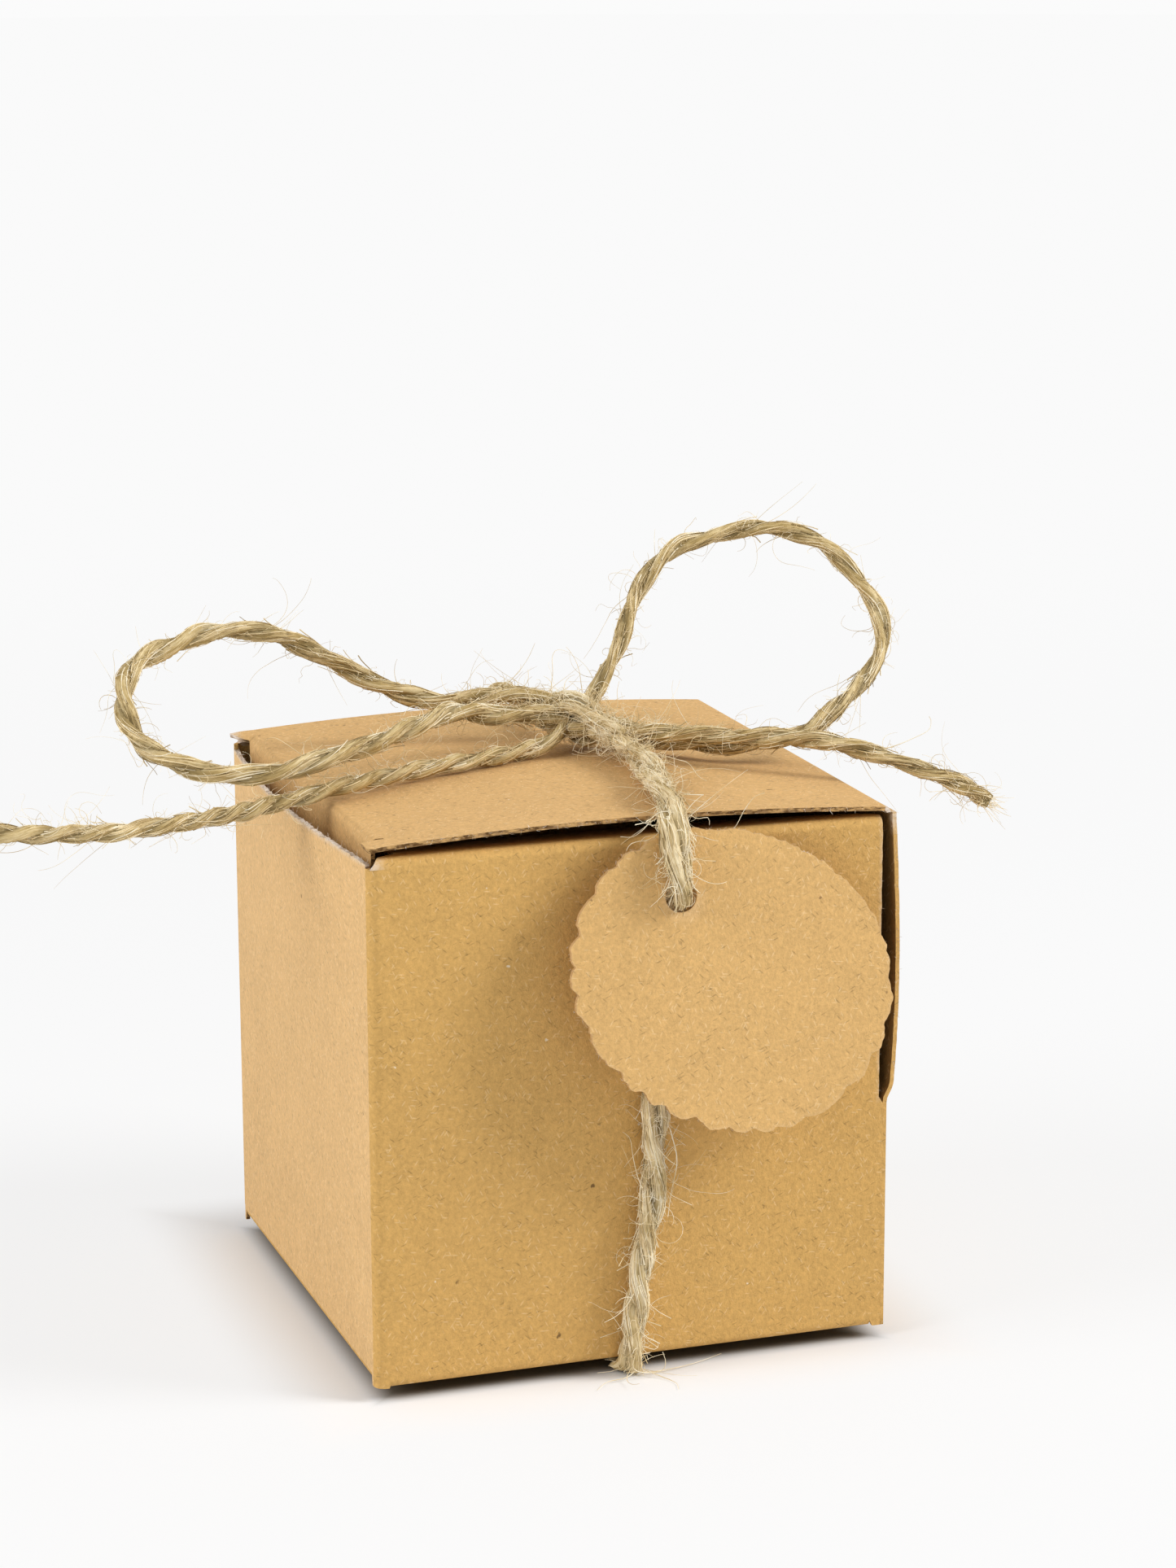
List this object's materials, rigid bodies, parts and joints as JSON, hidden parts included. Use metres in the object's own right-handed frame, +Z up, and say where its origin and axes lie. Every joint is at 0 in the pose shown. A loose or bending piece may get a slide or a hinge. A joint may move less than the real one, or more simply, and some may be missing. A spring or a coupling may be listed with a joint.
{
  "type": "gift box",
  "caption": "Small square kraft card gift box with a tuck-in lid and snap-lock bottom, tied with jute twine in a bow that holds a round scalloped tag.",
  "frame": {"origin": "middle of the flat underside of the bottom strand of twine, which the box stands on", "axes": "+Z up, +X to the right of the face that carries the tag, +Y from that face to the back"},
  "size_m": [0.0971, 0.0588, 0.0733],
  "materials": {
    "kraft_card": "matte",
    "tag_card": "matte",
    "jute_twine": "rough"
  },
  "bodies": {
    "box": {"front_wall": "kraft_card", "left_wall": "kraft_card", "back_wall": "kraft_card", "right_wall": "kraft_card", "glue_tab": "kraft_card", "bottom_tongue_panel": "kraft_card", "bottom_left_flap": "kraft_card", "bottom_right_flap": "kraft_card", "bottom_slot_panel": "kraft_card"},
    "lid": {"lid_panel": "kraft_card"},
    "tuck": {"tuck_flap": "kraft_card"},
    "front_flap": {"front_dust_flap": "kraft_card"},
    "back_flap": {"back_dust_flap": "kraft_card"},
    "twine": {"bottom_strand": "jute_twine", "front_strand": "jute_twine", "back_strand": "jute_twine", "bow_knot": "jute_twine", "left_loop": "jute_twine", "right_loop": "jute_twine", "left_tail": "jute_twine", "right_tail": "jute_twine"},
    "tag": {"tag": "tag_card"}
  },
  "joints": [
    {"name": "lid_hinge", "type": "hinge", "parent": "box", "child": "lid", "pos_m": [0.0246, 0, 0.0519], "axis": [0, 1, 0], "range_deg": [0, 110], "deforming": ["front_strand", "back_strand", "bow_knot", "left_loop", "right_loop", "left_tail", "right_tail"]},
    {"name": "tuck_hinge", "type": "hinge", "parent": "lid", "child": "tuck", "pos_m": [-0.0229, 0, 0.0513], "axis": [0, -1, 0], "range_deg": [0, 35]},
    {"name": "front_flap_hinge", "type": "hinge", "parent": "box", "child": "front_flap", "pos_m": [0, -0.0246, 0.0513], "axis": [1, 0, 0], "range_deg": [0, 95]},
    {"name": "back_flap_hinge", "type": "hinge", "parent": "box", "child": "back_flap", "pos_m": [0, 0.0246, 0.0513], "axis": [-1, 0, 0], "range_deg": [0, 95]},
    {"name": "twine_slip", "type": "slide", "parent": "box", "child": "twine", "axis": [-1, 0, 0], "range_m": [0, 0.07]},
    {"name": "tag_swing", "type": "hinge", "parent": "twine", "child": "tag", "pos_m": [0.0029, -0.0284, 0.0464], "axis": [0, -0.9925, 0.1219], "range_deg": [-75, 12]}
  ],
  "couplings": [
    {"joint": "front_flap_hinge", "follows": "lid_hinge", "ratio": 0.86},
    {"joint": "back_flap_hinge", "follows": "lid_hinge", "ratio": 0.86},
    {"joint": "twine_slip", "follows": "lid_hinge", "m_per_rad": 0.0364}
  ]
}
